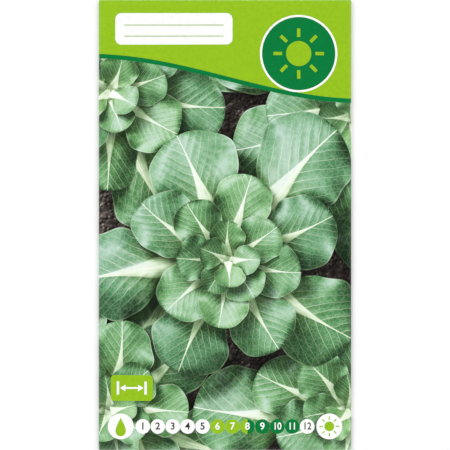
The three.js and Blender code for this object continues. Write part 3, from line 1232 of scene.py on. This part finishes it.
# The sachet, in metres
FILM_CELL = 0.00075
RIB_PITCH = 0.003
RIB_RISE = 0.00002
POCKET_SHOULDER = 3
PUCKER = 0.00008
PUCKER_COUNT = 26
NOTCH = 0.0016


def film_piece(node, name, sizes):
    """One film of the sachet: a ribbed seal, a tear notch, and a pocket as full as its node is high."""
    low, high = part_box(node)
    film = strip_under(node, name, FILM_CELL)
    places = np.empty(3 * len(film.data.vertices), np.float32)
    film.data.vertices.foreach_get("co", places)
    places = places.reshape(-1, 3)
    band = sizes.seal_band
    # A tear notch in the right edge, a quarter of the way down
    from_notch = np.abs(places[:, 1] - (low.y + 3 * high.y) / 4)
    cut = NOTCH * np.clip(1 - (from_notch - from_notch.min()) / FILM_CELL, 0, 1)
    places[:, 0] -= cut * np.clip(1 - (high.x - places[:, 0]) / band, 0, 1)
    # Ribs along the seal, and a pocket that swells from it and puckers beside it
    half = np.array((high - low).xy) / 2
    off = places[:, :2] - np.array((low + high).xy) / 2
    inward = (half - np.abs(off)).min(1)
    ribs = np.where(inward < band, RIB_RISE * (0.5 - 0.5 * np.cos(math.tau * inward / RIB_PITCH)), 0)
    fullness = np.prod(1 - np.clip(np.abs(off) / (half - band), 0, 1) ** POCKET_SHOULDER, axis=1)
    by_seal = (4 * fullness * (1 - fullness)) ** 2
    puckers = PUCKER * np.sin(PUCKER_COUNT * np.arctan2(off[:, 1], off[:, 0])) * by_seal
    crown = high.z - low.z - sizes.film
    places[:, 2] += ribs
    places[:, 2] += crown * fullness + puckers * (crown > 0)
    film.data.vertices.foreach_set("co", places.ravel())
    thicken(film, sizes.film)
    return film


def laminate(colours):
    """Metallised laminate: silver with a brushed grain and fine crinkles."""
    nodes = finish("laminate_film")
    place = nodes.place()
    grain = nodes.noise(place, 420, 4)
    silver = nodes.mottled(nodes.step(grain, 0.3, 0.7), colours.film, 0.86)
    nodes.set(Base_Color=silver, Roughness=nodes.spread(grain, 0.28, 0.45), Metallic=0.85)
    nodes.bump(nodes.cells(place, 300), 0.00006, 0.5)
    return nodes.owner


class PACKET_OT_inner_sachet(bpy.types.Operator):
    """Makes the two films of the heat-sealed sachet"""

    bl_idname = "packet.inner_sachet"
    bl_label = "Inner Sachet"

    def execute(self, context):
        sizes = context.scene.packet_sizes
        foil = laminate(context.scene.packet_colours)
        for side in ("back", "front"):
            film = film_piece(f"sachet_{side}_film", f"sachet_{side}", sizes)
            hand_over(film, "sachet_film", f"sachet_{side}_film", foil)
        return {"FINISHED"}


# Sizes of the seeds, as factors of their usual diameter
SEED_FORM = (1.0, 0.95, 0.9)
SEED_SMALL = 0.92
SEED_LARGE = 1.05
SEED_ROOM = 1.12
DIMPLE_FROM = 0.47
DIMPLE = 0.14
SETTLE_STEPS = 200
SEED_DRAW = 20


def one_seed(diameter):
    """One round seed, a little flattened, with the dimple where it was attached."""
    deselect_all()
    bpy.ops.mesh.primitive_ico_sphere_add(subdivisions=2, radius=diameter / 2)
    seed = bpy.context.object
    bpy.ops.transform.resize(value=SEED_FORM)
    bpy.ops.object.transform_apply(location=False, rotation=False, scale=True)
    bpy.ops.object.mode_set(mode="EDIT")
    bpy.ops.mesh.select_mode(type="VERT")
    bpy.ops.mesh.select_all(action="DESELECT")
    bpy.ops.object.mode_set(mode="OBJECT")
    for vertex in seed.data.vertices:
        vertex.select = vertex.co.x > DIMPLE_FROM * diameter
    bpy.ops.object.mode_set(mode="EDIT")
    bpy.ops.transform.translate(value=(-DIMPLE * diameter, 0, 0))
    bpy.ops.object.mode_set(mode="OBJECT")
    return seed


def seed_places(diameter, count, draws):
    """Where the seeds lie in one layer: scattered, then pushed apart until none is in another."""
    low, high = np.array(bed_low.xy), np.array(bed_high.xy)
    middle = (low + high) / 2
    reach = (high - low - diameter) / 2
    turn = draws.uniform(0, math.tau, count)
    out = np.sqrt(draws.random(count))
    places = np.stack([out * np.cos(turn), out * np.sin(turn)], 1) * reach
    for _ in range(SETTLE_STEPS):
        apart = places[:, None] - places[None]
        gap = np.linalg.norm(apart, axis=2) + FAR * np.eye(count)
        push = np.clip(SEED_ROOM * diameter - gap, 0, None) / gap
        places += 0.5 * (apart * push[..., None]).sum(1)
        places /= np.maximum(1, np.linalg.norm(places / reach, axis=1))[:, None]
    if gap.min() < SEED_LARGE * diameter:
        raise RuntimeError("the seeds don't fit in the sachet's pocket")
    return places + middle


def seed_coat(colours):
    """Seed coat: red brown to near black, with a net of fine ridges."""
    nodes = finish("seed_coat")
    place = nodes.place()
    stops = [(at, [factor * c for c in colours.seed]) for at, factor in ((0.3, 0.45), (0.55, 1), (0.75, 1.8))]
    coat = nodes.ramp(nodes.noise(place, 520, 3), stops)
    net = nodes.cells(place, 7000)
    nodes.set(Base_Color=coat, Roughness=nodes.spread(net, 0.5, 0.75))
    nodes.bump(nodes.step(net, 0.0, 0.25), 0.00003, 0.8)
    return nodes.owner


class PACKET_OT_loose_seeds(bpy.types.Operator):
    """Fills the sachet's pocket with one layer of loose seeds"""

    bl_idname = "packet.loose_seeds"
    bl_label = "Loose Seeds"

    def execute(self, context):
        sizes = context.scene.packet_sizes
        draws = np.random.default_rng(SEED_DRAW)
        seed = one_seed(sizes.seed)
        copies = []
        for x, y in seed_places(sizes.seed, sizes.seed_count, draws):
            make_active(seed)
            bpy.ops.object.duplicate()
            copy = context.object
            copy.scale = [draws.uniform(SEED_SMALL, SEED_LARGE)] * 3
            copy.rotation_euler = draws.uniform(0, math.tau, 3)
            copy.location = (x, y, bed_low.z + copy.scale.x * sizes.seed / 2)
            copies.append(copy)
        bpy.data.objects.remove(seed)
        make_active(copies[0])
        for copy in copies:
            copy.select_set(True)
        bpy.ops.object.join()
        bpy.ops.object.transform_apply(location=True, rotation=True, scale=True)
        bpy.ops.object.shade_smooth()
        seeds = context.object
        seeds.name = "loose_seeds"
        seeds.data.name = "loose_seeds"
        hand_over(seeds, "seeds", "seed_fill", seed_coat(context.scene.packet_colours))
        return {"FINISHED"}


class PACKET_OT_printed_envelope(bpy.types.Operator):
    """Prints the sheet, folds it and gives the paper its thickness"""

    bl_idname = "packet.printed_envelope"
    bl_label = "Printed Envelope"

    def execute(self, context):
        sizes = context.scene.packet_sizes
        colours = context.scene.packet_colours
        deselect_all()
        envelope = bpy.data.objects.new("printed_envelope", sheet_mesh(FlatSheet(sizes), sizes.paper / MM))
        context.scene.collection.objects.link(envelope)
        make_active(envelope)
        bpy.ops.object.shade_smooth_by_angle(angle=SMOOTH_ANGLE)
        plain = (
            ("lime_print", colours.lime),
            ("green_print", colours.green),
            ("white_coating", colours.white),
            ("rule_print", colours.rule),
            ("number_print", colours.letter),
        )
        inks = [leaf_ink(colours), soil_ink(colours), *(plain_ink(*ink, colours) for ink in plain)]
        hand_over(envelope, "printed_paper", "envelope_sheet", *inks, bare_stock(colours))
        return {"FINISHED"}


# The stage, in metres and, for the lens, millimetres
FLOOR_SIZE = 6.0
LENS = 100.0
SENSOR = 36.0
FRAME_MARGIN = 0.998
DOME = {"From Min": 0.15, "From Max": 0.95, "To Min": 0.85, "To Max": 0.25}
SOFTBOX_SIZE = 2.1
SOFTBOXES = (
    ("key_softbox", (-2.25, 1.65, 2.25), 57.6),
    ("fill_softbox", (2.40, 0.90, 2.10), 36.9),
    ("front_softbox", (0.30, -2.55, 2.10), 33.3),
)


def add_floor(colours):
    """A plain pale table."""
    bpy.ops.mesh.primitive_plane_add(size=FLOOR_SIZE)
    floor = bpy.context.object
    floor.name = "table"
    nodes = finish("table_top")
    grain = nodes.noise(nodes.place(), 40, 4)
    nodes.set(Base_Color=nodes.mottled(grain, colours.floor, 0.985), Roughness=0.9)
    floor.data.materials.append(nodes.owner)


def add_lights(scene):
    """A dome that is dimmer overhead, and three soft boxes turned to the packet."""
    scene.world = bpy.data.worlds.new("studio")
    sky = Nodes(scene.world, "Background")
    height = sky.parts(sky.place("Generated"))[2]
    sky.set(Color=(1, 1, 1), Strength=sky.node("MapRange", {"Value": height, **DOME}))
    for name, place, power in SOFTBOXES:
        bpy.ops.object.light_add(type="AREA", location=place)
        lamp = bpy.context.object
        lamp.name = name
        lamp.rotation_euler = Vector(place).to_track_quat("Z", "Y").to_euler()
        lamp.data.size = SOFTBOX_SIZE
        lamp.data.energy = power
    scene.view_settings.view_transform = "Standard"


def add_camera(scene, sizes):
    """A camera that looks straight down, with the packet's height filling its frame."""
    distance = FRAME_MARGIN * sizes.height * LENS / SENSOR
    bpy.ops.object.camera_add(location=(0, 0, sizes.edge + distance), rotation=(0, 0, 0))
    camera = bpy.context.object
    camera.name = "overhead_camera"
    camera.data.lens = LENS
    camera.data.sensor_width = SENSOR
    camera.data.clip_start = 0.01
    scene.camera = camera


class PACKET_OT_stage(bpy.types.Operator):
    """Adds the table, the soft lights and the camera that looks straight down on the packet"""

    bl_idname = "packet.stage"
    bl_label = "Stage"

    def execute(self, context):
        deselect_all()
        add_floor(context.scene.packet_colours)
        add_lights(context.scene)
        add_camera(context.scene, context.scene.packet_sizes)
        return {"FINISHED"}


class PACKET_PT_builder(bpy.types.Panel):
    """Lists the packet's pieces"""

    bl_idname = "PACKET_PT_builder"
    bl_label = "Seed Packet"
    bl_space_type = "VIEW_3D"
    bl_region_type = "UI"
    bl_category = "Seed Packet"

    def draw(self, context):
        for operator in OPERATORS:
            self.layout.operator(operator.bl_idname)


OPERATORS = (
    PACKET_OT_printed_envelope,
    PACKET_OT_glue_lines,
    PACKET_OT_inner_sachet,
    PACKET_OT_loose_seeds,
    PACKET_OT_stage,
)
CLASSES = (PacketSizes, PrintColours, *OPERATORS, PACKET_PT_builder)


def register():
    """Registers the classes, and gives the scene its sizes and colours."""
    for cls in CLASSES:
        bpy.utils.register_class(cls)
    bpy.types.Scene.packet_sizes = bpy.props.PointerProperty(type=PacketSizes)
    bpy.types.Scene.packet_colours = bpy.props.PointerProperty(type=PrintColours)


def unregister():
    """Takes everything away that register gave."""
    del bpy.types.Scene.packet_colours
    del bpy.types.Scene.packet_sizes
    for cls in reversed(CLASSES):
        bpy.utils.unregister_class(cls)


def main():
    """Makes every piece and the stage."""
    register()
    bpy.ops.packet.printed_envelope()
    bpy.ops.packet.glue_lines()
    bpy.ops.packet.inner_sachet()
    bpy.ops.packet.loose_seeds()
    bpy.ops.packet.stage()


if __name__ == "__main__":
    main()
